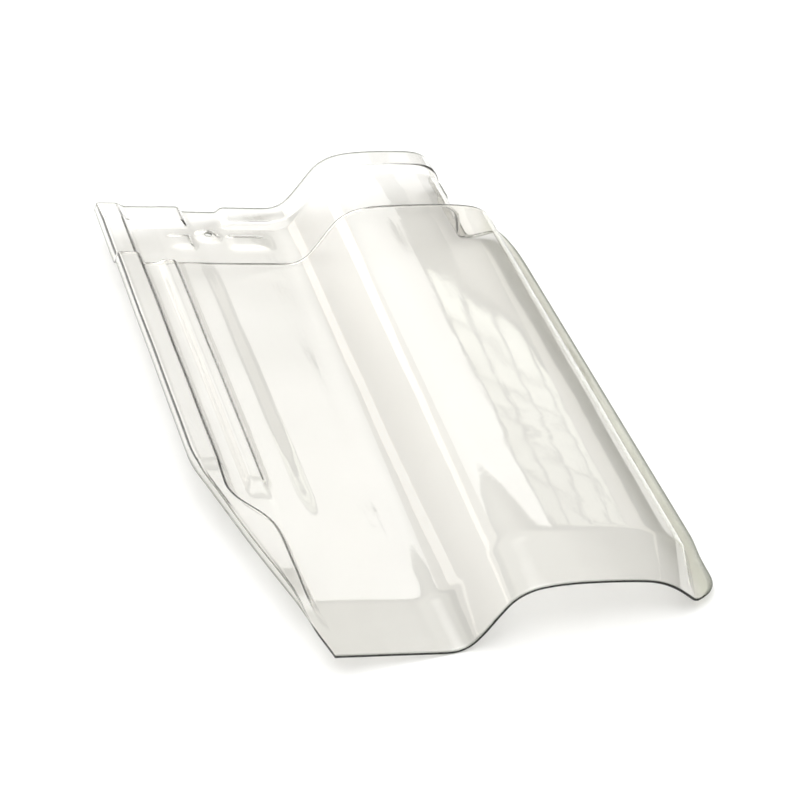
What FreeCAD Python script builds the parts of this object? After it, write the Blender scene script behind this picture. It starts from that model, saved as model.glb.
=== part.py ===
import FreeCAD, Part
import math
import os

# Clear roman roof tile: one thin moulded sheet, pan on the left, roll on the
# right.  Millimetres.  The sheet is laid out in the pan's own plane (x across,
# y from the foot edge to the head edge, z up from the top of the pan) and is
# then tipped on to the two lines it rests on when it lies loose on a floor.

# ---- driving dimensions -------------------------------------------------
SHEET_T = 1.2          # sheet thickness
TILE_LENGTH = 414.0    # foot edge to head edge
STEP_Y = 352.0         # full-height section ends here, head lap begins
STEP_LEN = 4.0         # length of that step
LAP_DROP = 3.0         # head lap lies this much lower
BAND_Y = 395.0         # head band begins (raised again by LAP_DROP)
BAND_LEN = 3.0
FOOT_ZONE = 37.0       # the last part of the foot is bent down
FOOT_DROP = 3.0        # by this much at the edge

RIB_LEFT = -91.0       # outer left edge
RIB_H = 6.5            # outer side rib
RIB2_H = 3.5           # second side rib
LEDGE_H = 1.0          # low soft ledge beside it
FLANGE_Z = 22.5        # narrow flange along the roll's free edge
FLANGE_X = 128.0       # its outer edge

POCKET_X0, POCKET_X1 = -42.5, -20.5   # gap in the head band
RIDGE_Y0, RIDGE_Y1 = 372.0, 385.0     # low cross ridge on the head lap
RIDGE_H = 1.4
BOSS_X, BOSS_Y = -32.0, 385.0         # round boss with the fixing hole
BOSS_R = 6.0
BOSS_H = 1.6
HOLE_R = 2.0
LAND_X0, LAND_X1 = -33.0, -10.0       # flat bearing land under the pan
LAND_Y0, LAND_Y1 = 60.0, 330.0
LAND_DEPTH = 0.03

# resting attitude on a level floor (degrees), and where the part's origin goes
REST_ROLL = 10.17      # tipped towards the roll
REST_PITCH = 0.27      # and very slightly towards the head


def lerp(a, b, t):
    return a + (b - a) * t


def smooth(a, b, v):
    t = (v - a) / float(b - a)
    t = 0.0 if t < 0 else (1.0 if t > 1 else t)
    return t * t * (3 - 2 * t)


def table(rows, y):
    """Straight interpolation in rows of (y, value, value...)."""
    if y <= rows[0][0]:
        return rows[0][1:]
    for r0, r1 in zip(rows, rows[1:]):
        if y <= r1[0]:
            t = (y - r0[0]) / float(r1[0] - r0[0])
            return tuple(lerp(p, q, t) for p, q in zip(r0[1:], r1[1:]))
    return rows[-1][1:]


# outline of the left side: straight along the rib, cut back at the foot corner
OUTLINE = [(0, -56.0), (16, -60.5), (34, -65.0), (50, -69.0), (71, -74.0),
           (90, -78.2), (116, -83.6), (146, -89.8), (153, -90.7), (160, RIB_LEFT),
           (500, RIB_LEFT)]
# height of the outer rib and where its top and its inner foot run
RIB_TOP = [(0, 0.0), (18, 0.0), (30, 1.0), (42, 3.6), (56, 4.6), (136, 4.6), (141, 5.0),
           (147, RIB_H), (395, RIB_H), (414, 5.0), (500, 5.0)]
RIB_IN_TOP = [(0, -53.0), (20, -57.5), (40, -60.5), (60, -61.2), (86, -61.6), (94, -62.6),
              (101, -65.0), (107, -69.0), (113, -73.5), (119, -77.0), (126, -78.8), (500, -79.0)]
RIB_IN_FOOT = [(0, -51.0), (20, -54.5), (40, -57.0), (60, -57.8), (86, -58.2), (94, -59.0),
               (101, -61.2), (107, -65.0), (113, -69.4), (119, -73.0), (126, -74.6), (500, -74.8)]
RIB2_TOP = [(0, 0.0), (124, 0.0), (133, RIB2_H), (STEP_Y - 4, RIB2_H), (STEP_Y, 0.0), (500, 0.0)]
LEDGE = [(0, 0.0), (95, 0.0), (120, LEDGE_H), (330, LEDGE_H), (350, 0.3), (500, 0.0)]

# roll sections as (x, z), the same count of points in each, from the pan to
# the foot of the right wall
ROLL_EDGE = [(-6, -3.0), (0.5, -2.6), (6.5, 0.2), (12, 7.2), (17.5, 16.6), (23, 24.6),
             (30, 29.6), (38, 32.0), (50, 33.5), (63, 34.0), (77, 34.0), (88, 33.4),
             (95, 31.8), (101, 29.2), (106, 26.2), (109.4, 23.9), (111.5, FLANGE_Z)]
ROLL_FOOT = [(-9, 0.0), (-2.6, 0.5), (4.2, 3.6), (11.0, 11.0), (17.2, 20.4), (23, 28.6),
             (30, 33.3), (38, 35.8), (50, 37.2), (64, 37.7), (79, 37.6), (93, 37.0),
             (104, 35.0), (112.4, 31.4), (117.4, 27.9), (119.2, 25.6), (119.9, FLANGE_Z)]
ROLL_HEAD = [(1, 0.0), (8, 0.4), (14, 3.6), (19.3, 11.4), (24.2, 20.4), (29.6, 28.4),
             (36.5, 33.4), (45, 35.8), (57, 37.0), (71, 37.9), (86, 38.5), (99, 38.5),
             (107, 37.6), (113.0, 35.2), (117.3, 30.9), (119.9, 26.6), (120.9, FLANGE_Z)]
ROLL_LAP = [(2, -LAP_DROP), (10, -2.6), (16.5, 0.6), (22.0, 8.0), (27.0, 16.6), (32.2, 24.6),
            (39.0, 29.8), (47.0, 32.5), (57.0, 33.9), (68, 34.7), (80, 35.0), (88, 34.7),
            (93.6, 33.4), (97.6, 31.2), (100.4, 27.6), (102.2, 22.0), (103.4, 15.2)]
ROLLS = [(0.0, ROLL_EDGE), (FOOT_ZONE, ROLL_FOOT), (STEP_Y - 2.0, ROLL_HEAD),
         (STEP_Y + STEP_LEN - 2.0, ROLL_LAP), (TILE_LENGTH + 1.0, ROLL_LAP)]
# flange: its height and the position of its outer edge
FLANGE_EDGE = [(0, 113.0), (2.5, 117.5), (6, 121.5), (11, 124.6), (17, 126.0), (24, 125.8),
               (34, 126.3), (48, FLANGE_X), (STEP_Y - 32, FLANGE_X), (STEP_Y - 18, 127.0),
               (STEP_Y - 8, 125.2), (STEP_Y - 2, 123.2), (STEP_Y + 3, 108.5), (500, 108.5)]

# across the pan: fixed stations between the ribs and the roll
PAN_X = [-52.5, -49.5, -46.8, -44.8, -43.2, -41.8, -40.2, -38.2, -36.2, -34.2, -32.0,
         -29.8, -27.8, -25.6, -23.6, -21.8, -20.4, -19.0, -16.8, -13.0]
ROLL_N = 54            # stations over the roll, the last quarter close together
# the sheet's faces are split at these rows and columns of the grid
CUT_ROWS = (14, 30, 42, 50, 60)
CUT_COLS = (13, 26, 36, 50, 66, 82, 94)


def rows_y():
    ys = [0, 1.5, 4, 7, 11, 16, 21, 26, 30, 33.5, 36.5, 39.5, 43, 47, 52, 58, 66, 76, 86, 93,
          98, 102, 106, 110, 114, 118, 122, 126, 130, 134, 138, 141, 144, 147, 150, 154,
          160, 168, 180, 196, 214, 232, 250, 268, 286, 304, 320, 332, 340, 345, 348, 350,
          351.5, 353, 354.5, 356.5, 360, 365, 369, 371.5, 373.5, 376, 378.5, 381, 383.5,
          385.5, 387.5, 390, 392.5, 394.5, 396, 397.5, 399.5, 403, 408, 412, TILE_LENGTH]
    return [float(v) for v in ys]


def catmull(p, n):
    """n points through the control points p; a quarter of them over the last tenth."""
    dense = []
    c = [(2 * p[0][0] - p[1][0], 2 * p[0][1] - p[1][1])] + list(p) + \
        [(2 * p[-1][0] - p[-2][0], 2 * p[-1][1] - p[-2][1])]
    for i in range(1, len(c) - 2):
        for k in range(12):
            t = k / 12.0
            pt = []
            for a in (0, 1):
                p0, p1, p2, p3 = c[i - 1][a], c[i][a], c[i + 1][a], c[i + 2][a]
                pt.append(0.5 * (2 * p1 + (p2 - p0) * t + (2 * p0 - 5 * p1 + 4 * p2 - p3) * t * t
                                 + (3 * p1 - p0 - 3 * p2 + p3) * t * t * t))
            dense.append(tuple(pt))
    dense.append(tuple(p[-1]))
    s = [0.0]
    for a, b in zip(dense, dense[1:]):
        s.append(s[-1] + math.hypot(b[0] - a[0], b[1] - a[1]))
    out, j = [], 0
    for k in range(n):
        q = k / (n - 1.0)
        want = s[-1] * (0.9 * q / 0.75 if q < 0.75 else 0.9 + 0.1 * (q - 0.75) / 0.25)
        while j < len(s) - 2 and s[j + 1] < want:
            j += 1
        t = 0.0 if s[j + 1] == s[j] else (want - s[j]) / (s[j + 1] - s[j])
        out.append((lerp(dense[j][0], dense[j + 1][0], t), lerp(dense[j][1], dense[j + 1][1], t)))
    return out


def roll_section(y):
    for (y0, r0), (y1, r1) in zip(ROLLS, ROLLS[1:]):
        if y <= y1:
            t = (y - y0) / (y1 - y0)
            t = min(max(t, 0.0), 1.0)
            return [(lerp(a[0], b[0], t), lerp(a[1], b[1], t)) for a, b in zip(r0, r1)]
    return ROLLS[-1][1]


def base_z(y):
    """Height of the pan's level: foot zone bent down, head lap lower."""
    z = 0.0
    if y < FOOT_ZONE + 3:
        z -= FOOT_DROP * max(0.0, 1.0 - y / FOOT_ZONE) if y < FOOT_ZONE else 0.0
    z -= LAP_DROP * smooth(STEP_Y - 2.0, STEP_Y + STEP_LEN - 2.0, y)
    return z


def band(y):
    return LAP_DROP * smooth(BAND_Y - 0.5, BAND_Y + BAND_LEN - 0.5, y)


def in_pocket(x):
    return smooth(POCKET_X0 - 1.2, POCKET_X0 + 1.2, x) * (1.0 - smooth(POCKET_X1 - 1.2, POCKET_X1 + 1.2, x))


def head_relief(x, y):
    """Band, cross ridge and boss on the head lap, over the pan."""
    z = band(y) * (1.0 - in_pocket(x))
    span = smooth(-54.0, -50.0, x) * (1.0 - smooth(-4.0, 2.0, x))
    ridge = smooth(RIDGE_Y0 - 2, RIDGE_Y0 + 2, y) * (1.0 - smooth(RIDGE_Y1 - 2, RIDGE_Y1 + 2, y))
    z += RIDGE_H * ridge * span * (1.0 - in_pocket(x))
    d = math.hypot(x - BOSS_X, y - BOSS_Y)
    z += BOSS_H * (1.0 - smooth(BOSS_R - 1.8, BOSS_R + 1.2, d))
    return z


def sub(p, q, n):
    """n points from p towards q, without q."""
    return [(lerp(p[0], q[0], k / float(n)), lerp(p[1], q[1], k / float(n))) for k in range(n)]


def section(y):
    base = base_z(y)
    bnd = band(y)
    x0 = table(OUTLINE, y)[0]
    rh = table(RIB_TOP, y)[0]
    lift = base
    p0 = (x0, lift + bnd * 0.0)
    p1 = (x0 + 0.9, lift + rh)
    p2 = (max(table(RIB_IN_TOP, y)[0], x0 + 1.6), lift + rh)
    p3 = (max(table(RIB_IN_FOOT, y)[0], p2[0] + 0.8), lift + bnd)
    r2 = table(RIB2_TOP, y)[0]
    lg = table(LEDGE, y)[0]
    p4 = (max(-68.6, p3[0] + 0.8), lift + bnd)
    p5 = (max(-65.4, p4[0] + 0.8), lift + r2 + bnd)
    p6 = (max(-59.4, p5[0] + 0.8), lift + r2 + bnd)
    p7 = (max(-56.4, p6[0] + 0.8), lift + lg + bnd)
    pts = sub(p0, p1, 4) + sub(p1, p2, 6) + sub(p2, p3, 4) + sub(p3, p4, 4) + \
        sub(p4, p5, 3) + sub(p5, p6, 4) + sub(p6, p7, 3)
    # pan
    first = p7[0]
    roll = catmull(roll_section(y), ROLL_N)
    last = roll[0][0]
    span0, span1 = PAN_X[0] - (-56.4), PAN_X[-1] - (-56.4)
    pts.append(p7)
    scale = 1.0
    if first > -56.4:
        scale = (PAN_X[-1] - first) / (PAN_X[-1] + 56.4)
    for x in PAN_X:
        xx = PAN_X[-1] - (PAN_X[-1] - x) * scale
        z = base + lg * (1.0 - smooth(-46.0, -35.0, xx)) + head_relief(xx, y)
        pts.append((xx, z))
    # from the last pan station to the roll's own first point
    xa = PAN_X[-1]
    for k in range(1, 4):
        xx = lerp(xa, last, k / 4.0)
        pts.append((xx, base + head_relief(xx, y)))
    for x, z in roll:
        pts.append((x, z + bnd))
    # flange
    wx, wz = pts[-1]
    fx = max(table(FLANGE_EDGE, y)[0], wx + 0.8)
    for k in range(1, 5):
        pts.append((lerp(wx, fx, k / 4.0), wz))
    return pts


def sheet_grids():
    top = []
    for y in rows_y():
        top.append([(x, y, z) for x, z in section(y)])
    return top


def normals(g):
    n, m = len(g), len(g[0])
    out = []
    for i in range(n):
        row = []
        for j in range(m):
            a = g[i][max(j - 1, 0)]
            b = g[i][min(j + 1, m - 1)]
            c = g[max(i - 1, 0)][j]
            d = g[min(i + 1, n - 1)][j]
            u = [b[k] - a[k] for k in range(3)]
            v = [d[k] - c[k] for k in range(3)]
            w = (u[1] * v[2] - u[2] * v[1], u[2] * v[0] - u[0] * v[2], u[0] * v[1] - u[1] * v[0])
            ln = math.sqrt(w[0] ** 2 + w[1] ** 2 + w[2] ** 2) or 1.0
            row.append((w[0] / ln, w[1] / ln, w[2] / ln))
        out.append(row)
    return out


def bspline(g):
    n, m = len(g), len(g[0])
    poles = [[FreeCAD.Vector(*p) for p in row] for row in g]

    def knots(c):
        k = list(range(c - 2))
        mult = [1] * len(k)
        mult[0] = mult[-1] = 4
        return [float(v) for v in k], mult
    ku, mu = knots(n)
    kv, mv = knots(m)
    s = Part.BSplineSurface()
    s.buildFromPolesMultsKnots(poles, mu, mv, ku, kv, False, False, 3, 3)
    return s


def ruled(curves):
    return Part.makeRuledSurface(curves[0].toShape(), curves[1].toShape())


def make_sheet():
    top = sheet_grids()
    nrm = normals(top)
    bottom = [[tuple(p[k] - SHEET_T * q[k] for k in range(3)) for p, q in zip(rp, rq)]
              for rp, rq in zip(top, nrm)]
    # the two end edges stay in their own planes
    for row in (0, -1):
        bottom[row] = [(p[0], top[row][j][1], p[2]) for j, p in enumerate(bottom[row])]
    both = (bspline(top), bspline(bottom))
    u0, u1, v0, v1 = both[0].bounds()
    us = [u0] + [float(k) for k in CUT_ROWS] + [u1]
    vs = [v0] + [float(k) for k in CUT_COLS] + [v1]
    faces = []
    for ua, ub in zip(us, us[1:]):
        for va, vb in zip(vs, vs[1:]):
            pair = []
            for s in both:
                c = s.copy()
                c.segment(ua, ub, va, vb)
                pair.append(c)
                faces.append(c.toShape())
            # rim: a ruled face under each border edge of the top face
            if ua == u0:
                faces.append(ruled([c.uIso(c.bounds()[0]) for c in pair]))
            if ub == u1:
                faces.append(ruled([c.uIso(c.bounds()[1]) for c in pair]))
            if va == v0:
                faces.append(ruled([c.vIso(c.bounds()[2]) for c in pair]))
            if vb == v1:
                faces.append(ruled([c.vIso(c.bounds()[3]) for c in pair]))
    sewn = Part.makeShell(faces)
    sewn.sewShape(1e-3)
    solid = Part.makeSolid(sewn.Shells[0] if sewn.Shells else sewn)
    if solid.Volume < 0:
        solid.reverse()
    hole = Part.makeCylinder(HOLE_R, 30, FreeCAD.Vector(BOSS_X, BOSS_Y, -15))
    solid = solid.cut(hole)
    # flat land under the pan, where the tile bears on its batten
    land = Part.makeBox(LAND_X1 - LAND_X0, LAND_Y1 - LAND_Y0, 5,
                        FreeCAD.Vector(LAND_X0, LAND_Y0, -SHEET_T + LAND_DEPTH - 5))
    solid = solid.cut(land)
    return solid


def main():
    os.makedirs("parts", exist_ok=True)
    tile = make_sheet()
    tile.rotate(FreeCAD.Vector(0, 0, 0), FreeCAD.Vector(0, 1, 0), REST_ROLL)
    tile.rotate(FreeCAD.Vector(0, 0, 0), FreeCAD.Vector(1, 0, 0), REST_PITCH)
    pts = tile.tessellate(0.03)[0]
    lo = [min(p[k] for p in pts) for k in range(3)]
    hi = [max(p[k] for p in pts) for k in range(3)]
    shift = FreeCAD.Vector(-(lo[0] + hi[0]) / 2.0, -(lo[1] + hi[1]) / 2.0, -lo[2])
    tile.translate(shift)
    print("shift", round(shift.x, 4), round(shift.y, 4), round(shift.z, 4))
    print("solids", len(tile.Solids), "valid", tile.isValid(), "volume", round(tile.Volume, 1),
          "size", [round(hi[k] - lo[k], 2) for k in range(3)])
    tile.exportStep("parts/tile_sheet.step")


main()
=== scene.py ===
import math

import bpy
import numpy as np
from mathutils import Matrix, Vector


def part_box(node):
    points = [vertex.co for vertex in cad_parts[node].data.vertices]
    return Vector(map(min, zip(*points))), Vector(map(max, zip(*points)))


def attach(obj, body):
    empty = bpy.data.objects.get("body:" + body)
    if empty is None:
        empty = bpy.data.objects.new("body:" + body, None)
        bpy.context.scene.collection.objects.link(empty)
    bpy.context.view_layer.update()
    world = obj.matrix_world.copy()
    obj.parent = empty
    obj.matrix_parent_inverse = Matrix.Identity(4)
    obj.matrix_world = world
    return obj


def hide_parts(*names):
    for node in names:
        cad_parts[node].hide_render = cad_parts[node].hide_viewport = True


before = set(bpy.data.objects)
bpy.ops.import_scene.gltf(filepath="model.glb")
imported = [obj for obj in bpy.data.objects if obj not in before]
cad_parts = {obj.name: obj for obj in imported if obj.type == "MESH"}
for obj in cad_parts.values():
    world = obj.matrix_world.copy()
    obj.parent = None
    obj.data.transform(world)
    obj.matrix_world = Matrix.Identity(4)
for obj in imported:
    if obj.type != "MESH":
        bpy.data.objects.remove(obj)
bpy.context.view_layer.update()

# ---------------------------------------------------------------------------
# The tile's section, in millimetres: the same tables and rules as the CAD part
# ---------------------------------------------------------------------------
SHEET_T = 1.2          # sheet thickness
TILE_LENGTH = 414.0    # foot edge to head edge
STEP_Y = 352.0         # full-height section ends here, head lap begins
STEP_LEN = 4.0         # length of that step
LAP_DROP = 3.0         # head lap lies this much lower
BAND_Y = 395.0         # head band begins (raised again by LAP_DROP)
BAND_LEN = 3.0
FOOT_ZONE = 37.0       # the last part of the foot is bent down
FOOT_DROP = 3.0        # by this much at the edge

RIB_LEFT = -91.0       # outer left edge
RIB_H = 6.5            # outer side rib
RIB2_H = 3.5           # second side rib
LEDGE_H = 1.0          # low soft ledge beside it
FLANGE_Z = 22.5        # narrow flange along the roll's free edge
FLANGE_X = 128.0       # its outer edge

POCKET_X0, POCKET_X1 = -42.5, -20.5   # gap in the head band
RIDGE_Y0, RIDGE_Y1 = 372.0, 385.0     # low cross ridge on the head lap
RIDGE_H = 1.4
BOSS_X, BOSS_Y = -32.0, 385.0         # round boss with the fixing hole
BOSS_R = 6.0
BOSS_H = 1.6
HOLE_R = 2.0

# resting attitude on a level floor (degrees), and where the part's origin goes
REST_ROLL = 10.17      # tipped towards the roll
REST_PITCH = 0.27      # and very slightly towards the head


def lerp(a, b, t):
    return a + (b - a) * t


def smooth(a, b, v):
    t = (v - a) / float(b - a)
    t = 0.0 if t < 0 else (1.0 if t > 1 else t)
    return t * t * (3 - 2 * t)


def table(rows, y):
    """Straight interpolation in rows of (y, value, value...)."""
    if y <= rows[0][0]:
        return rows[0][1:]
    for r0, r1 in zip(rows, rows[1:]):
        if y <= r1[0]:
            t = (y - r0[0]) / float(r1[0] - r0[0])
            return tuple(lerp(p, q, t) for p, q in zip(r0[1:], r1[1:]))
    return rows[-1][1:]


# outline of the left side: straight along the rib, cut back at the foot corner
OUTLINE = [(0, -56.0), (16, -60.5), (34, -65.0), (50, -69.0), (71, -74.0),
           (90, -78.2), (116, -83.6), (146, -89.8), (153, -90.7), (160, RIB_LEFT),
           (500, RIB_LEFT)]
# height of the outer rib and where its top and its inner foot run
RIB_TOP = [(0, 0.0), (18, 0.0), (30, 1.0), (42, 3.6), (56, 4.6), (136, 4.6), (141, 5.0),
           (147, RIB_H), (395, RIB_H), (414, 5.0), (500, 5.0)]
RIB_IN_TOP = [(0, -53.0), (20, -57.5), (40, -60.5), (60, -61.2), (86, -61.6), (94, -62.6),
              (101, -65.0), (107, -69.0), (113, -73.5), (119, -77.0), (126, -78.8), (500, -79.0)]
RIB_IN_FOOT = [(0, -51.0), (20, -54.5), (40, -57.0), (60, -57.8), (86, -58.2), (94, -59.0),
               (101, -61.2), (107, -65.0), (113, -69.4), (119, -73.0), (126, -74.6), (500, -74.8)]
RIB2_TOP = [(0, 0.0), (124, 0.0), (133, RIB2_H), (STEP_Y - 4, RIB2_H), (STEP_Y, 0.0), (500, 0.0)]
LEDGE = [(0, 0.0), (95, 0.0), (120, LEDGE_H), (330, LEDGE_H), (350, 0.3), (500, 0.0)]

# roll sections as (x, z), the same count of points in each, from the pan to
# the foot of the right wall
ROLL_EDGE = [(-6, -3.0), (0.5, -2.6), (6.5, 0.2), (12, 7.2), (17.5, 16.6), (23, 24.6),
             (30, 29.6), (38, 32.0), (50, 33.5), (63, 34.0), (77, 34.0), (88, 33.4),
             (95, 31.8), (101, 29.2), (106, 26.2), (109.4, 23.9), (111.5, FLANGE_Z)]
ROLL_FOOT = [(-9, 0.0), (-2.6, 0.5), (4.2, 3.6), (11.0, 11.0), (17.2, 20.4), (23, 28.6),
             (30, 33.3), (38, 35.8), (50, 37.2), (64, 37.7), (79, 37.6), (93, 37.0),
             (104, 35.0), (112.4, 31.4), (117.4, 27.9), (119.2, 25.6), (119.9, FLANGE_Z)]
ROLL_HEAD = [(1, 0.0), (8, 0.4), (14, 3.6), (19.3, 11.4), (24.2, 20.4), (29.6, 28.4),
             (36.5, 33.4), (45, 35.8), (57, 37.0), (71, 37.9), (86, 38.5), (99, 38.5),
             (107, 37.6), (113.0, 35.2), (117.3, 30.9), (119.9, 26.6), (120.9, FLANGE_Z)]
ROLL_LAP = [(2, -LAP_DROP), (10, -2.6), (16.5, 0.6), (22.0, 8.0), (27.0, 16.6), (32.2, 24.6),
            (39.0, 29.8), (47.0, 32.5), (57.0, 33.9), (68, 34.7), (80, 35.0), (88, 34.7),
            (93.6, 33.4), (97.6, 31.2), (100.4, 27.6), (102.2, 22.0), (103.4, 15.2)]
ROLLS = [(0.0, ROLL_EDGE), (FOOT_ZONE, ROLL_FOOT), (STEP_Y - 2.0, ROLL_HEAD),
         (STEP_Y + STEP_LEN - 2.0, ROLL_LAP), (TILE_LENGTH + 1.0, ROLL_LAP)]
# flange: its height and the position of its outer edge
FLANGE_EDGE = [(0, 113.0), (2.5, 117.5), (6, 121.5), (11, 124.6), (17, 126.0), (24, 125.8),
               (34, 126.3), (48, FLANGE_X), (STEP_Y - 32, FLANGE_X), (STEP_Y - 18, 127.0),
               (STEP_Y - 8, 125.2), (STEP_Y - 2, 123.2), (STEP_Y + 3, 108.5), (500, 108.5)]

# across the pan: fixed stations between the ribs and the roll
PAN_X = [-52.5, -49.5, -46.8, -44.8, -43.2, -41.8, -40.2, -38.2, -36.2, -34.2, -32.0,
         -29.8, -27.8, -25.6, -23.6, -21.8, -20.4, -19.0, -16.8, -13.0]
ROLL_N = 54            # stations over the roll, the last quarter close together
# the CAD sheet's faces are split at these rows and columns of the grid; this script doesn't use them
CUT_ROWS = (14, 30, 42, 50, 60)
CUT_COLS = (13, 26, 36, 50, 66, 82, 94)


def rows_y():
    ys = [0, 1.5, 4, 7, 11, 16, 21, 26, 30, 33.5, 36.5, 39.5, 43, 47, 52, 58, 66, 76, 86, 93,
          98, 102, 106, 110, 114, 118, 122, 126, 130, 134, 138, 141, 144, 147, 150, 154,
          160, 168, 180, 196, 214, 232, 250, 268, 286, 304, 320, 332, 340, 345, 348, 350,
          351.5, 353, 354.5, 356.5, 360, 365, 369, 371.5, 373.5, 376, 378.5, 381, 383.5,
          385.5, 387.5, 390, 392.5, 394.5, 396, 397.5, 399.5, 403, 408, 412, TILE_LENGTH]
    return [float(v) for v in ys]


def catmull(p, n):
    """n points through the control points p; a quarter of them over the last tenth."""
    dense = []
    c = [(2 * p[0][0] - p[1][0], 2 * p[0][1] - p[1][1])] + list(p) + \
        [(2 * p[-1][0] - p[-2][0], 2 * p[-1][1] - p[-2][1])]
    for i in range(1, len(c) - 2):
        for k in range(12):
            t = k / 12.0
            pt = []
            for a in (0, 1):
                p0, p1, p2, p3 = c[i - 1][a], c[i][a], c[i + 1][a], c[i + 2][a]
                pt.append(0.5 * (2 * p1 + (p2 - p0) * t + (2 * p0 - 5 * p1 + 4 * p2 - p3) * t * t
                                 + (3 * p1 - p0 - 3 * p2 + p3) * t * t * t))
            dense.append(tuple(pt))
    dense.append(tuple(p[-1]))
    s = [0.0]
    for a, b in zip(dense, dense[1:]):
        s.append(s[-1] + math.hypot(b[0] - a[0], b[1] - a[1]))
    out, j = [], 0
    for k in range(n):
        q = k / (n - 1.0)
        want = s[-1] * (0.9 * q / 0.75 if q < 0.75 else 0.9 + 0.1 * (q - 0.75) / 0.25)
        while j < len(s) - 2 and s[j + 1] < want:
            j += 1
        t = 0.0 if s[j + 1] == s[j] else (want - s[j]) / (s[j + 1] - s[j])
        out.append((lerp(dense[j][0], dense[j + 1][0], t), lerp(dense[j][1], dense[j + 1][1], t)))
    return out


def roll_section(y):
    for (y0, r0), (y1, r1) in zip(ROLLS, ROLLS[1:]):
        if y <= y1:
            t = (y - y0) / (y1 - y0)
            t = min(max(t, 0.0), 1.0)
            return [(lerp(a[0], b[0], t), lerp(a[1], b[1], t)) for a, b in zip(r0, r1)]
    return ROLLS[-1][1]


def base_z(y):
    """Height of the pan's level: foot zone bent down, head lap lower."""
    z = 0.0
    if y < FOOT_ZONE + 3:
        z -= FOOT_DROP * max(0.0, 1.0 - y / FOOT_ZONE) if y < FOOT_ZONE else 0.0
    z -= LAP_DROP * smooth(STEP_Y - 2.0, STEP_Y + STEP_LEN - 2.0, y)
    return z


def band(y):
    return LAP_DROP * smooth(BAND_Y - 0.5, BAND_Y + BAND_LEN - 0.5, y)


def in_pocket(x):
    return smooth(POCKET_X0 - 1.2, POCKET_X0 + 1.2, x) * (1.0 - smooth(POCKET_X1 - 1.2, POCKET_X1 + 1.2, x))


def head_relief(x, y):
    """Band, cross ridge and boss on the head lap, over the pan."""
    z = band(y) * (1.0 - in_pocket(x))
    span = smooth(-54.0, -50.0, x) * (1.0 - smooth(-4.0, 2.0, x))
    ridge = smooth(RIDGE_Y0 - 2, RIDGE_Y0 + 2, y) * (1.0 - smooth(RIDGE_Y1 - 2, RIDGE_Y1 + 2, y))
    z += RIDGE_H * ridge * span * (1.0 - in_pocket(x))
    d = math.hypot(x - BOSS_X, y - BOSS_Y)
    z += BOSS_H * (1.0 - smooth(BOSS_R - 1.8, BOSS_R + 1.2, d))
    return z


def sub(p, q, n):
    """n points from p towards q, without q."""
    return [(lerp(p[0], q[0], k / float(n)), lerp(p[1], q[1], k / float(n))) for k in range(n)]


def section(y):
    base = base_z(y)
    bnd = band(y)
    x0 = table(OUTLINE, y)[0]
    rh = table(RIB_TOP, y)[0]
    lift = base
    p0 = (x0, lift + bnd * 0.0)
    p1 = (x0 + 0.9, lift + rh)
    p2 = (max(table(RIB_IN_TOP, y)[0], x0 + 1.6), lift + rh)
    p3 = (max(table(RIB_IN_FOOT, y)[0], p2[0] + 0.8), lift + bnd)
    r2 = table(RIB2_TOP, y)[0]
    lg = table(LEDGE, y)[0]
    p4 = (max(-68.6, p3[0] + 0.8), lift + bnd)
    p5 = (max(-65.4, p4[0] + 0.8), lift + r2 + bnd)
    p6 = (max(-59.4, p5[0] + 0.8), lift + r2 + bnd)
    p7 = (max(-56.4, p6[0] + 0.8), lift + lg + bnd)
    pts = sub(p0, p1, 4) + sub(p1, p2, 6) + sub(p2, p3, 4) + sub(p3, p4, 4) + \
        sub(p4, p5, 3) + sub(p5, p6, 4) + sub(p6, p7, 3)
    # pan
    first = p7[0]
    roll = catmull(roll_section(y), ROLL_N)
    last = roll[0][0]
    span0, span1 = PAN_X[0] - (-56.4), PAN_X[-1] - (-56.4)
    pts.append(p7)
    scale = 1.0
    if first > -56.4:
        scale = (PAN_X[-1] - first) / (PAN_X[-1] + 56.4)
    for x in PAN_X:
        xx = PAN_X[-1] - (PAN_X[-1] - x) * scale
        z = base + lg * (1.0 - smooth(-46.0, -35.0, xx)) + head_relief(xx, y)
        pts.append((xx, z))
    # from the last pan station to the roll's own first point
    xa = PAN_X[-1]
    for k in range(1, 4):
        xx = lerp(xa, last, k / 4.0)
        pts.append((xx, base + head_relief(xx, y)))
    for x, z in roll:
        pts.append((x, z + bnd))
    # flange
    wx, wz = pts[-1]
    fx = max(table(FLANGE_EDGE, y)[0], wx + 0.8)
    for k in range(1, 5):
        pts.append((lerp(wx, fx, k / 4.0), wz))
    return pts


def sheet_grids():
    top = []
    for y in rows_y():
        top.append([(x, y, z) for x, z in section(y)])
    return top


def normals(g):
    n, m = len(g), len(g[0])
    out = []
    for i in range(n):
        row = []
        for j in range(m):
            a = g[i][max(j - 1, 0)]
            b = g[i][min(j + 1, m - 1)]
            c = g[max(i - 1, 0)][j]
            d = g[min(i + 1, n - 1)][j]
            u = [b[k] - a[k] for k in range(3)]
            v = [d[k] - c[k] for k in range(3)]
            w = (u[1] * v[2] - u[2] * v[1], u[2] * v[0] - u[0] * v[2], u[0] * v[1] - u[1] * v[0])
            ln = math.sqrt(w[0] ** 2 + w[1] ** 2 + w[2] ** 2) or 1.0
            row.append((w[0] / ln, w[1] / ln, w[2] / ln))
        out.append(row)
    return out


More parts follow.
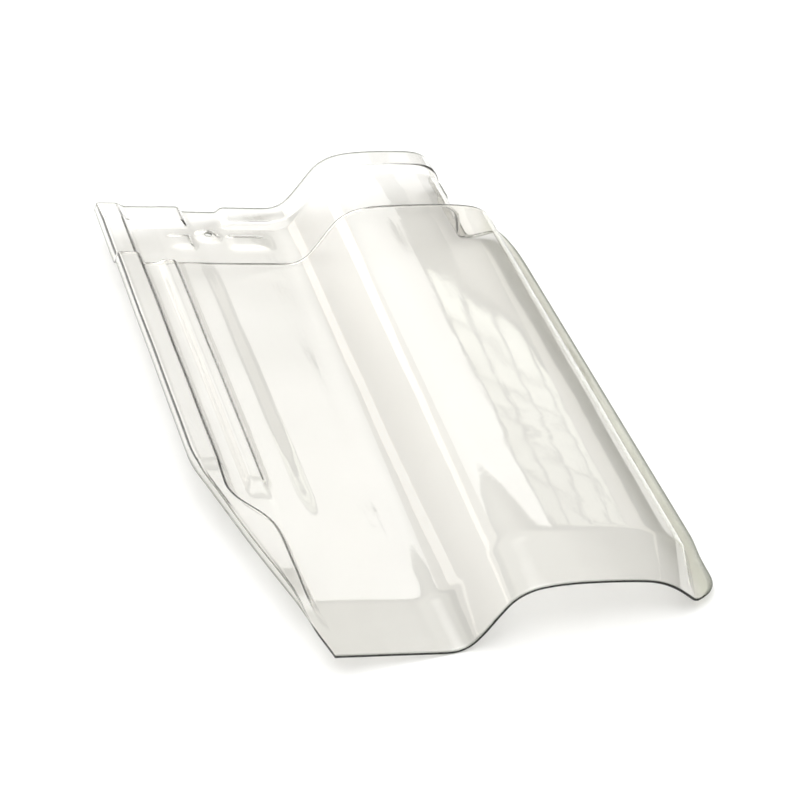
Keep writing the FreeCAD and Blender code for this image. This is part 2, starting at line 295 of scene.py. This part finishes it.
# ---------------------------------------------------------------------------
# The sheet's two faces: clamped uniform cubic B-splines over the pole grid
# ---------------------------------------------------------------------------
def basis(count, t):
    """Rows of the cubic basis for `count` poles at parameters t in 0..count-3."""
    t = np.clip(np.asarray(t, float), 0.0, count - 3 - 1e-9)
    k = np.concatenate([np.zeros(3), np.arange(count - 2), np.full(3, count - 3)]).astype(float)
    n = np.zeros((len(t), len(k) - 1))
    cell = np.floor(t).astype(int) + 3
    n[np.arange(len(t)), cell] = 1.0
    for d in (1, 2, 3):
        m = np.zeros((len(t), len(k) - 1 - d))
        for i in range(len(k) - 1 - d):
            a, b = k[i + d] - k[i], k[i + d + 1] - k[i + 1]
            if a > 0:
                m[:, i] += (t - k[i]) / a * n[:, i]
            if b > 0:
                m[:, i] += (k[i + d + 1] - t) / b * n[:, i + 1]
        n = m
    return n


def steps(count, per_cell):
    """Parameters over all cells, per_cell(i) steps in cell i."""
    t = []
    for i in range(count - 3):
        c = per_cell(i)
        t += [i + j / c for j in range(c)]
    return np.array(t + [count - 3.0])


def smooth_np(a, b, v):
    t = np.clip((v - a) / float(b - a), 0, 1)
    return t * t * (3 - 2 * t)


poles_top = sheet_grids()
pole_n = normals(poles_top)
poles_top = np.array(poles_top)
poles_low = poles_top - SHEET_T * np.array(pole_n)
for row in (0, -1):
    poles_low[row][:, 1] = poles_top[row][:, 1]
NR, NC = poles_top.shape[:2]
ys = poles_top[:, 0, 1]


def rows_per_cell(i):
    y = ys[min(i + 1, NR - 1)]
    return 3 if (y < 50 or y > 344) else 2


def cols_per_cell(i):
    if 2 <= i <= 24:
        return 3
    return 2


U = steps(NR, rows_per_cell)
V = steps(NC, cols_per_cell)
BU, BV = basis(NR, U), basis(NC, V)
top = np.einsum("ij,jkc,lk->ilc", BU, poles_top, BV)
low = np.einsum("ij,jkc,lk->ilc", BU, poles_low, BV)

# the resting tip and the shift to the row frame, from the two plain faces
tip = np.array(Matrix.Rotation(math.radians(REST_PITCH), 3, "X") @
               Matrix.Rotation(math.radians(REST_ROLL), 3, "Y"))
both = np.concatenate([top.reshape(-1, 3), low.reshape(-1, 3)]) @ tip.T
lo, hi = both.min(0), both.max(0)
shift = np.array([-(lo[0] + hi[0]) / 2, -(lo[1] + hi[1]) / 2, -lo[2]])


def to_row(p):
    """Tile frame in mm to row frame in metres."""
    return (np.asarray(p, float) @ tip.T + shift) / 1000.0


def surface(poles, uv):
    a, b = basis(NR, uv[:, 0]), basis(NC, uv[:, 1])
    return np.einsum("ni,ijc,nj->nc", a, poles, b)


# ---- slight unevenness of a moulded sheet -----------------------------------
def waviness(p):
    """Height in mm of the mould's long soft waves and of its finer drag marks."""
    x, y = p[..., 0], p[..., 1]
    a = 0.055 * np.sin(y / 11.5 + 0.9 * np.sin(x / 23.0) + 0.7)
    a += 0.05 * np.sin(y / 19.0 - x / 31.0 + 2.1 + 0.8 * np.sin(y / 47.0))
    a += 0.035 * np.sin(x / 9.0 + 1.3 * np.sin(y / 29.0 + 1.0))
    a += 0.008 * np.sin(y / 3.1 + 2.0 * np.sin(x / 12.0) + 0.5 * np.sin(y / 17.0))
    a += 0.006 * np.sin(x / 2.3 + 1.6 * np.sin(y / 21.0 + x / 40.0))
    return a


def grid_normals(g):
    du = np.gradient(g, axis=0)
    dv = np.gradient(g, axis=1)
    n = np.cross(dv, du)
    return n / np.maximum(np.linalg.norm(n, axis=2, keepdims=True), 1e-9)


def edge_fade(g):
    """1 inside, 0 at the borders and near the faces of the part's own box."""
    r = g @ tip.T
    f = np.ones(g.shape[:2])
    for k in (0, 1, 2):
        f *= smooth_np(0.05, 0.9, np.minimum(r[..., k] - lo[k], hi[k] - r[..., k]))
    d = np.hypot(g[..., 0] - BOSS_X, g[..., 1] - BOSS_Y)
    f *= smooth_np(3.0, 9.0, d)
    return f


nt = grid_normals(top)
fade = edge_fade(top)
w = waviness(top) * fade
thin = 0.018 * np.sin(top[..., 0] / 16.0 + 0.6) * np.sin(top[..., 1] / 24.0 + 1.1) * fade
top_s = top + nt * w[..., None]
low_s = low + nt * (w + thin)[..., None]

# ---------------------------------------------------------------------------
# One closed mesh: top face, bottom face, rounded rim and the fixing hole
# ---------------------------------------------------------------------------
nu, nv = top.shape[:2]
verts, quads, rim_flag = [], [], []


def add(points, flag=0.0):
    first = len(verts)
    for p in points:
        verts.append(p)
        rim_flag.append(flag)
    return first


# block of cells round the hole, left open and filled by rings
cx = np.hypot(top[..., 0] - BOSS_X, top[..., 1] - BOSS_Y)
ic, jc = np.unravel_index(np.argmin(cx), cx.shape)
i0, i1, j0, j1 = ic, ic, jc, jc
while top[i0, jc, 1] > BOSS_Y - 3.6: i0 -= 1
while top[i1, jc, 1] < BOSS_Y + 3.6: i1 += 1
while top[ic, j0, 0] > BOSS_X - 3.6: j0 -= 1
while top[ic, j1, 0] < BOSS_X + 3.6: j1 += 1

# border loop, counter-clockwise seen from above
loop = [(0, j) for j in range(nv)] + [(i, nv - 1) for i in range(1, nu)] + \
       [(nu - 1, j) for j in range(nv - 2, -1, -1)] + [(i, 0) for i in range(nu - 2, 0, -1)]
li = np.array(loop)
T, B = top_s[li[:, 0], li[:, 1]], low_s[li[:, 0], li[:, 1]]
tangent = np.roll(T, -1, 0) - np.roll(T, 1, 0)
tangent /= np.linalg.norm(tangent, axis=1, keepdims=True)
up = T - B
up /= np.linalg.norm(up, axis=1, keepdims=True)
out = np.cross(tangent, up)
out /= np.linalg.norm(out, axis=1, keepdims=True)
EDGE_R = 0.28
rings = []
for k in range(5):                      # upper rounding
    a = math.radians(90.0 * k / 4)
    rings.append(T - out * EDGE_R * (1 - math.sin(a)) - up * EDGE_R * (1 - math.cos(a)))
rings.append((T + B) / 2)
for k in range(5):                      # lower rounding
    a = math.radians(90.0 * (4 - k) / 4)
    rings.append(B - out * EDGE_R * (1 - math.sin(a)) + up * EDGE_R * (1 - math.cos(a)))
top_s[li[:, 0], li[:, 1]] = rings[0]
low_s[li[:, 0], li[:, 1]] = rings[-1]

border = np.zeros((nu, nv))
border[li[:, 0], li[:, 1]] = 1.0
base_t = add(top_s.reshape(-1, 3))
base_b = add(low_s.reshape(-1, 3))
rim_flag[base_t:base_t + nu * nv] = border.ravel().tolist()
rim_flag[base_b:base_b + nu * nv] = border.ravel().tolist()


def in_block(i, j):
    return i0 <= i < i1 and j0 <= j < j1


def inner(i, j):
    return i0 < i < i1 and j0 < j < j1


for i in range(nu - 1):
    for j in range(nv - 1):
        if in_block(i, j):
            continue
        a, b, c, d = i * nv + j, i * nv + j + 1, (i + 1) * nv + j + 1, (i + 1) * nv + j
        quads.append((base_t + a, base_t + b, base_t + c, base_t + d))
        quads.append((base_b + d, base_b + c, base_b + b, base_b + a))

n = len(loop)
prev = [base_t + i * nv + j for i, j in loop]
for k in range(1, len(rings) - 1):
    f = add(rings[k], 1.0)
    cur = [f + q for q in range(n)]
    for q in range(n):
        r = (q + 1) % n
        quads.append((prev[q], cur[q], cur[r], prev[r]))
    prev = cur
last = [base_b + i * nv + j for i, j in loop]
for q in range(n):
    r = (q + 1) % n
    quads.append((prev[q], last[q], last[r], prev[r]))

# the fixing hole
hole_loop = [(i0, j) for j in range(j0, j1)] + [(i, j1) for i in range(i0, i1)] + \
            [(i1, j) for j in range(j1, j0, -1)] + [(i, j0) for i in range(i1, i0, -1)]
hl = np.array(hole_loop)


def on_face(poles, xy, uv):
    """Points of the face at the given x, y, by a few Newton steps from uv."""
    uv = uv.astype(float).copy()
    for _ in range(12):
        p = surface(poles, uv)
        e = 1e-4
        pu = (surface(poles, uv + [e, 0]) - p) / e
        pv = (surface(poles, uv + [0, e]) - p) / e
        r = xy - p[:, :2]
        det = pu[:, 0] * pv[:, 1] - pu[:, 1] * pv[:, 0]
        uv[:, 0] += (r[:, 0] * pv[:, 1] - r[:, 1] * pv[:, 0]) / det
        uv[:, 1] += (pu[:, 0] * r[:, 1] - pu[:, 1] * r[:, 0]) / det
    return surface(poles, uv)


m = len(hole_loop)
uv0 = np.stack([U[hl[:, 0]], V[hl[:, 1]]], 1)
ends = []
for grid, poles, base, s in ((top_s, poles_top, base_t, -1.0), (low_s, poles_low, base_b, 1.0)):
    rim0 = grid[hl[:, 0], hl[:, 1]]
    ang = np.arctan2(rim0[:, 1] - BOSS_Y, rim0[:, 0] - BOSS_X)
    unit = np.stack([np.cos(ang), np.sin(ang)], 1)
    centre = np.array([BOSS_X, BOSS_Y])
    prev = [base + i * nv + j for i, j in hole_loop]
    for t, rad in ((0.34, None), (0.67, None), (1.0, HOLE_R + 0.42), (None, HOLE_R + 0.22)):
        if rad is None:
            xy = rim0[:, :2] * (1 - t) + (centre + unit * (HOLE_R + 0.42)) * t
        else:
            xy = centre + unit * rad
        p = on_face(poles, xy, uv0)
        f = add(p)
        cur = [f + q for q in range(m)]
        for q in range(m):
            r = (q + 1) % m
            face = (prev[q], prev[r], cur[r], cur[q])
            quads.append(face if s < 0 else face[::-1])
        prev = cur
    z = p[:, 2]
    for rad, dz in ((HOLE_R + 0.07, 0.06), (HOLE_R, 0.2)):
        xy = centre + unit * rad
        p = np.concatenate([xy, (z + s * dz)[:, None]], 1)
        f = add(p, 0.6)
        cur = [f + q for q in range(m)]
        for q in range(m):
            r = (q + 1) % m
            face = (prev[q], prev[r], cur[r], cur[q])
            quads.append(face if s < 0 else face[::-1])
        prev = cur
    ends.append(prev)
for q in range(m):
    r = (q + 1) % m
    quads.append((ends[0][q], ends[0][r], ends[1][r], ends[1][q]))

pts = to_row(np.array(verts))
box_lo, box_hi = np.array(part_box("tile_sheet")[0]), np.array(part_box("tile_sheet")[1])
pts = np.clip(pts, box_lo, box_hi)

# leave out the points inside the open block round the hole
used = np.zeros(len(pts), bool)
q = np.array(quads)
used[q.ravel()] = True
index = np.cumsum(used) - 1
mesh = bpy.data.meshes.new("clear_tile_sheet")
mesh.from_pydata(pts[used].tolist(), [], index[q].tolist())
flag = mesh.attributes.new("rim", "FLOAT", "POINT")
flag.data.foreach_set("value", np.array(rim_flag, np.float32)[used])
mesh.update()
mesh.validate()
mesh.shade_smooth()
tile = bpy.data.objects.new("clear_tile_sheet", mesh)
bpy.context.scene.collection.objects.link(tile)

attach(tile, "root")
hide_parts("tile_sheet")


# ---------------------------------------------------------------------------
# Materials
# ---------------------------------------------------------------------------
def new_material(name):
    mat = bpy.data.materials.new(name)
    mat.use_nodes = True
    nt_ = mat.node_tree
    bsdf = nt_.nodes["Principled BSDF"]
    return mat, nt_, bsdf


def node(tree, kind, **inputs):
    nd = tree.nodes.new(kind)
    for k, v in inputs.items():
        nd.inputs[k.replace("_", " ")].default_value = v
    return nd


clear, tree, bsdf = new_material("clear_sheet")
bsdf.inputs["Transmission Weight"].default_value = 1.0
bsdf.inputs["IOR"].default_value = 1.49
co = tree.nodes.new("ShaderNodeTexCoord")

# tint: a little more colour in broad patches and along the moulding direction
flow = node(tree, "ShaderNodeMapping")
flow.inputs["Scale"].default_value = (16.0, 4.0, 16.0)
tree.links.new(co.outputs["Object"], flow.inputs["Vector"])
patch = node(tree, "ShaderNodeTexNoise", Scale=1.0, Detail=3.0, Roughness=0.55)
tree.links.new(flow.outputs["Vector"], patch.inputs["Vector"])
tint = tree.nodes.new("ShaderNodeValToRGB")
tint.color_ramp.elements[0].position = 0.3
tint.color_ramp.elements[0].color = (0.958, 0.950, 0.922, 1)
tint.color_ramp.elements[1].position = 0.72
tint.color_ramp.elements[1].color = (0.974, 0.968, 0.946, 1)
tree.links.new(patch.outputs["Fac"], tint.inputs["Fac"])
# the narrow flange beyond the roll is painted darker: painted shade, a green-grey multiplied into the
# sheet's colour
axis = tree.nodes.new("ShaderNodeSeparateXYZ")
tree.links.new(co.outputs["Object"], axis.inputs["Vector"])
outer = tree.nodes.new("ShaderNodeMapRange")
outer.interpolation_type = "SMOOTHSTEP"
outer.inputs["From Min"].default_value = 0.094
outer.inputs["From Max"].default_value = 0.101
tree.links.new(axis.outputs["X"], outer.inputs["Value"])
flange_painted_shade = tree.nodes.new("ShaderNodeMix")
flange_painted_shade.data_type = "RGBA"
flange_painted_shade.blend_type = "MULTIPLY"
flange_painted_shade.inputs["B"].default_value = (0.905, 0.91, 0.865, 1)
tree.links.new(outer.outputs["Result"], flange_painted_shade.inputs["Factor"])
tree.links.new(tint.outputs["Color"], flange_painted_shade.inputs["A"])
# painted shade: where the rim attribute is set, on the sheet's cut edge and its rounding, the colour is
# painted dark grey-green for the dark edge lines
rim = tree.nodes.new("ShaderNodeAttribute")
rim.attribute_name = "rim"
rim_painted_shade = tree.nodes.new("ShaderNodeMix")
rim_painted_shade.data_type = "RGBA"
rim_painted_shade.inputs["B"].default_value = (0.30, 0.32, 0.28, 1)
tree.links.new(rim.outputs["Fac"], rim_painted_shade.inputs["Factor"])
tree.links.new(flange_painted_shade.outputs["Result"], rim_painted_shade.inputs["A"])
tree.links.new(rim_painted_shade.outputs["Result"], bsdf.inputs["Base Color"])

# gloss: polished, with faint hazy patches and fine scuffs, rougher on the rim
haze = node(tree, "ShaderNodeTexNoise", Scale=38.0, Detail=5.0, Roughness=0.6)
tree.links.new(co.outputs["Object"], haze.inputs["Vector"])
rough = tree.nodes.new("ShaderNodeMapRange")
rough.inputs["From Min"].default_value = 0.35
rough.inputs["From Max"].default_value = 0.75
rough.inputs["To Min"].default_value = 0.012
rough.inputs["To Max"].default_value = 0.06
tree.links.new(haze.outputs["Fac"], rough.inputs["Value"])
rim_r = tree.nodes.new("ShaderNodeMath")
rim_r.operation = "MULTIPLY_ADD"
rim_r.inputs[1].default_value = 0.12
tree.links.new(rim.outputs["Fac"], rim_r.inputs[0])
tree.links.new(rough.outputs["Result"], rim_r.inputs[2])
tree.links.new(rim_r.outputs["Value"], bsdf.inputs["Roughness"])

# fine moulded grain
grain = node(tree, "ShaderNodeTexNoise", Scale=420.0, Detail=3.0, Roughness=0.5)
tree.links.new(co.outputs["Object"], grain.inputs["Vector"])
drag_map = node(tree, "ShaderNodeMapping")
drag_map.inputs["Scale"].default_value = (260.0, 26.0, 260.0)
tree.links.new(co.outputs["Object"], drag_map.inputs["Vector"])
drag = node(tree, "ShaderNodeTexNoise", Scale=1.0, Detail=2.0, Roughness=0.5)
tree.links.new(drag_map.outputs["Vector"], drag.inputs["Vector"])
mixh = tree.nodes.new("ShaderNodeMath")
mixh.operation = "MULTIPLY_ADD"
mixh.inputs[1].default_value = 1.6
tree.links.new(drag.outputs["Fac"], mixh.inputs[0])
tree.links.new(grain.outputs["Fac"], mixh.inputs[2])
bump = tree.nodes.new("ShaderNodeBump")
bump.inputs["Strength"].default_value = 0.35
bump.inputs["Distance"].default_value = 0.00002
tree.links.new(mixh.outputs["Value"], bump.inputs["Height"])
tree.links.new(bump.outputs["Normal"], bsdf.inputs["Normal"])
mesh.materials.append(clear)

# ---------------------------------------------------------------------------
# Floor
# ---------------------------------------------------------------------------
FLOOR = 14.0
fm = bpy.data.meshes.new("pale_floor")
fm.from_pydata([(-FLOOR, -FLOOR, 0), (FLOOR, -FLOOR, 0), (FLOOR, FLOOR, 0), (-FLOOR, FLOOR, 0)],
               [], [(0, 1, 2, 3)])
floor = bpy.data.objects.new("pale_floor", fm)
bpy.context.scene.collection.objects.link(floor)
floor.location.z = -0.0002
pale, ft, fb = new_material("pale_floor")
fco = ft.nodes.new("ShaderNodeTexCoord")
fn = node(ft, "ShaderNodeTexNoise", Scale=9.0, Detail=6.0, Roughness=0.6)
ft.links.new(fco.outputs["Object"], fn.inputs["Vector"])
fr = ft.nodes.new("ShaderNodeValToRGB")
fr.color_ramp.elements[0].color = (0.83, 0.83, 0.825, 1)
fr.color_ramp.elements[1].color = (0.87, 0.87, 0.865, 1)
ft.links.new(fn.outputs["Fac"], fr.inputs["Fac"])
ft.links.new(fr.outputs["Color"], fb.inputs["Base Color"])
fb.inputs["Roughness"].default_value = 0.55
fb.inputs["Specular IOR Level"].default_value = 0.25
fg = node(ft, "ShaderNodeTexNoise", Scale=900.0, Detail=2.0, Roughness=0.5)
ft.links.new(fco.outputs["Object"], fg.inputs["Vector"])
fbump = ft.nodes.new("ShaderNodeBump")
fbump.inputs["Strength"].default_value = 0.15
fbump.inputs["Distance"].default_value = 0.0002
ft.links.new(fg.outputs["Fac"], fbump.inputs["Height"])
ft.links.new(fbump.outputs["Normal"], fb.inputs["Normal"])
fm.materials.append(pale)

# ---------------------------------------------------------------------------
# Light: a soft bright dome overhead, a dim warm room below it, a long soft
# light high behind the tile and, beside it, a paned window that the roll
# mirrors
# ---------------------------------------------------------------------------
DOME = 3.05                # radiance of the dome
SLOPE = 0.9                # radiance just under the dome
ROOM = 0.15                # radiance of the walls below it
STRIP = 2.0                # radiance of the long light
WINDOW = 1.8               # radiance of the window
SIDE = 1.3                 # radiance of the low light at the back left
world = bpy.data.worlds.new("studio")
bpy.context.scene.world = world
world.use_nodes = True
wt = world.node_tree
bg = wt.nodes["Background"]
wco = wt.nodes.new("ShaderNodeTexCoord")
sep = wt.nodes.new("ShaderNodeSeparateXYZ")
wt.links.new(wco.outputs["Generated"], sep.inputs["Vector"])
ramp = wt.nodes.new("ShaderNodeValToRGB")
els = ramp.color_ramp.elements
LEVEL = max(DOME, ROOM)
wall = (ROOM * 1.0 / LEVEL, ROOM * 0.93 / LEVEL, ROOM * 0.83 / LEVEL)
sky = (DOME / LEVEL, DOME / LEVEL, DOME / LEVEL)
els[0].position, els[0].color = 0.0, (*wall, 1)
els[1].position, els[1].color = 1.0, (*sky, 1)
near = (SLOPE / LEVEL, SLOPE / LEVEL, SLOPE * 0.95 / LEVEL)
for pos_, c in ((0.57, wall), (0.65, near), (0.75, near), (0.84, sky)):
    e = els.new(pos_)
    e.color = (*c, 1)
wt.links.new(sep.outputs["Z"], ramp.inputs["Fac"])
wt.links.new(ramp.outputs["Color"], bg.inputs["Color"])
bg.inputs["Strength"].default_value = LEVEL


def pane(name, centre, right, upv, w_, h_, radiance, colour=(1, 1, 1)):
    """A flat soft light facing -(right x up), with an even radiance."""
    li_ = bpy.data.lights.new(name, "AREA")
    li_.shape = "RECTANGLE"
    li_.size, li_.size_y = w_, h_
    li_.energy = radiance * math.pi * w_ * h_
    li_.color = colour
    ob = bpy.data.objects.new(name, li_)
    bpy.context.scene.collection.objects.link(ob)
    ob.visible_diffuse = False          # mirrored by the tile; the dome lights the floor
    z = right.cross(upv)                # a light shines along its own -Z
    ob.matrix_world = Matrix(((right.x, upv.x, z.x, centre.x), (right.y, upv.y, z.y, centre.y),
                              (right.z, upv.z, z.z, centre.z), (0, 0, 0, 1)))
    return ob


def overhead(name, x0, x1, y0, y1, radiance, colour=(1, 1, 1)):
    centre = Vector(((x0 + x1) / 2, (y0 + y1) / 2, LIGHT_Z))
    return pane(name, centre, Vector((1, 0, 0)), Vector((0, 1, 0)), x1 - x0, y1 - y0, radiance, colour)


LIGHT_Z = 0.45
# the long light, a little dimmer towards its far end
LX0, LX1, LY0, LY1, LROWS = -0.20, 0.34, 0.43, 1.39, 24
lh = (LY1 - LY0) / LROWS
for b in range(LROWS):
    q = b / (LROWS - 1.0)
    overhead("long_light_%d" % b, LX0, LX1, LY0 + b * lh, LY0 + (b + 1) * lh,
             STRIP * (1.0 - 0.72 * smooth(0.1, 0.8, q)))
WX0, WX1, WY0, WY1 = 0.350, 0.60, 0.47, 0.83
COLS, ROWS, BAR = 4, 5, 0.008
pw, ph = (WX1 - WX0 - BAR * (COLS - 1)) / COLS, (WY1 - WY0 - BAR * (ROWS - 1)) / ROWS
for a in range(COLS):
    for b in range(ROWS):
        x_, y_ = WX0 + a * (pw + BAR), WY0 + b * (ph + BAR)
        overhead("window_%d_%d" % (a, b), x_, x_ + pw, y_, y_ + ph,
                 WINDOW * (0.55 + 0.45 * b / (ROWS - 1.0)), (0.98, 1.0, 0.93))
# pale walls round the window and the long light
overhead("wall_right", 0.606, 0.96, 0.50, 1.10, 0.85, (1.0, 0.97, 0.93))
overhead("wall_far", 0.43, 0.60, 0.86, 1.25, 0.45, (1.0, 0.97, 0.93))
overhead("wall_left", -0.90, -0.20, 0.43, 1.39, 1.25, (1.0, 0.97, 0.93))
overhead("wall_back", -0.90, 0.34, 1.39, 2.70, 1.15, (1.0, 0.97, 0.93))

# low light at the back left, mirrored by the rise of the roll and the rib walls
side_az = math.radians(-28.0)
away = Vector((math.sin(side_az), math.cos(side_az), 0.0))
side_r = Vector((0, 0, 1)).cross(away)
pane("side_light", away * 1.3 + Vector((0, 0, 0.31)), side_r, Vector((0, 0, 1)), 2.2, 0.62, SIDE,
     (1.0, 0.97, 0.93))

# ---------------------------------------------------------------------------
# Camera, fitted to the photograph's straight edges
# ---------------------------------------------------------------------------
cam_data = bpy.data.cameras.new("camera")
cam_data.sensor_width = 36.0
cam_data.lens = 127.35
cam_data.clip_start = 0.01
cam_data.clip_end = 100.0
cam = bpy.data.objects.new("camera", cam_data)
bpy.context.scene.collection.objects.link(cam)
pos = Vector(to_row([-411.0315, -957.8261, 731.9322]).tolist())
R3 = Matrix(tip.tolist())
cr = R3 @ Vector((0.952126, -0.262164, 0.157243))
cu = R3 @ Vector((0.0059, 0.530026, 0.847961))
cf = R3 @ Vector((0.305648, 0.806438, -0.506199))
cam.matrix_world = Matrix(((cr.x, cu.x, -cf.x, pos.x), (cr.y, cu.y, -cf.y, pos.y),
                           (cr.z, cu.z, -cf.z, pos.z), (0, 0, 0, 1)))
bpy.context.scene.camera = cam
bpy.context.scene.view_settings.view_transform = "Standard"

bpy.context.view_layer.update()
